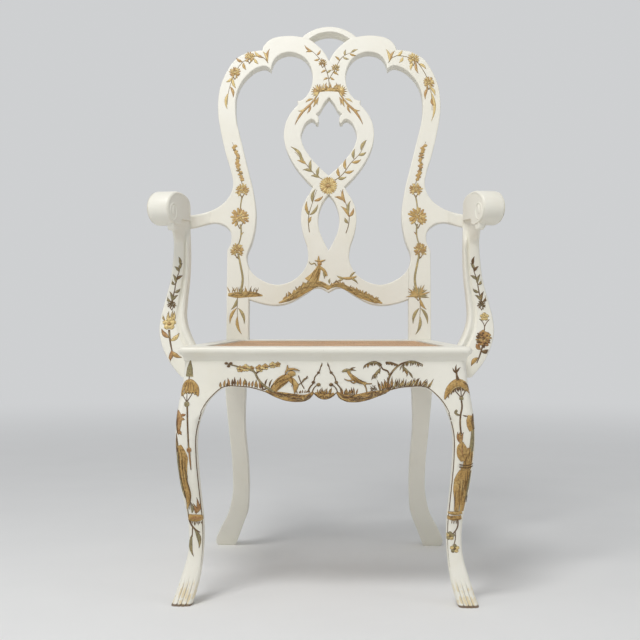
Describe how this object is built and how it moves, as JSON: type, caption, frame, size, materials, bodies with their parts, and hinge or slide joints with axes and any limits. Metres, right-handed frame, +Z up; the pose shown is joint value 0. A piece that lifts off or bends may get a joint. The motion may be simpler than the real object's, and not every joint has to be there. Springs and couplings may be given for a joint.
{
  "type": "armchair",
  "caption": "Painted open armchair with a pierced hooped back, scrolled arms, cabriole front legs and a caned seat.",
  "frame": {"origin": "on the floor, under the middle of the chair's box", "axes": "+Z up, -Y the way that the sitter faces, +X to the right of someone in front of the chair"},
  "size_m": [0.6432, 0.5786, 1.1242],
  "materials": {
    "painted_wood": "ivory paint, satin",
    "raw_wood": "bare, sawn",
    "cane": "split cane, satin",
    "screw_steel": "plain"
  },
  "bodies": {
    "root": {"rear_post_left": "painted_wood", "rear_post_right": "painted_wood", "crest_hoop_left": "painted_wood", "crest_hoop_right": "painted_wood", "crest_arch": "painted_wood", "back_splat": "painted_wood", "lower_back_rail": "painted_wood", "arm_left": "painted_wood", "arm_right": "painted_wood", "arm_stump_left": "painted_wood", "arm_stump_right": "painted_wood", "front_leg_left": "painted_wood", "front_leg_right": "painted_wood", "knee_bracket_front_left": "painted_wood", "knee_bracket_front_right": "painted_wood", "knee_bracket_side_left": "painted_wood", "knee_bracket_side_right": "painted_wood", "front_rail": "painted_wood", "rear_rail": "painted_wood", "side_rail_left": "painted_wood", "side_rail_right": "painted_wood", "seat_frame_front": "painted_wood", "seat_frame_left": "painted_wood", "seat_frame_right": "painted_wood", "seat_frame_rear": "painted_wood", "corner_block_front_left": "raw_wood", "corner_block_front_right": "raw_wood", "corner_block_rear_left": "raw_wood", "corner_block_rear_right": "raw_wood", "crest_dowels": "raw_wood", "splat_dowels": "raw_wood", "arm_dowels": "raw_wood", "stump_dowels": "raw_wood", "seat_frame_dowels": "raw_wood", "cane_panel": "cane", "cane_spline": "cane", "corner_block_screws": "screw_steel", "seat_frame_screws": "screw_steel", "stump_screws": "screw_steel"}
  },
  "joints": []
}
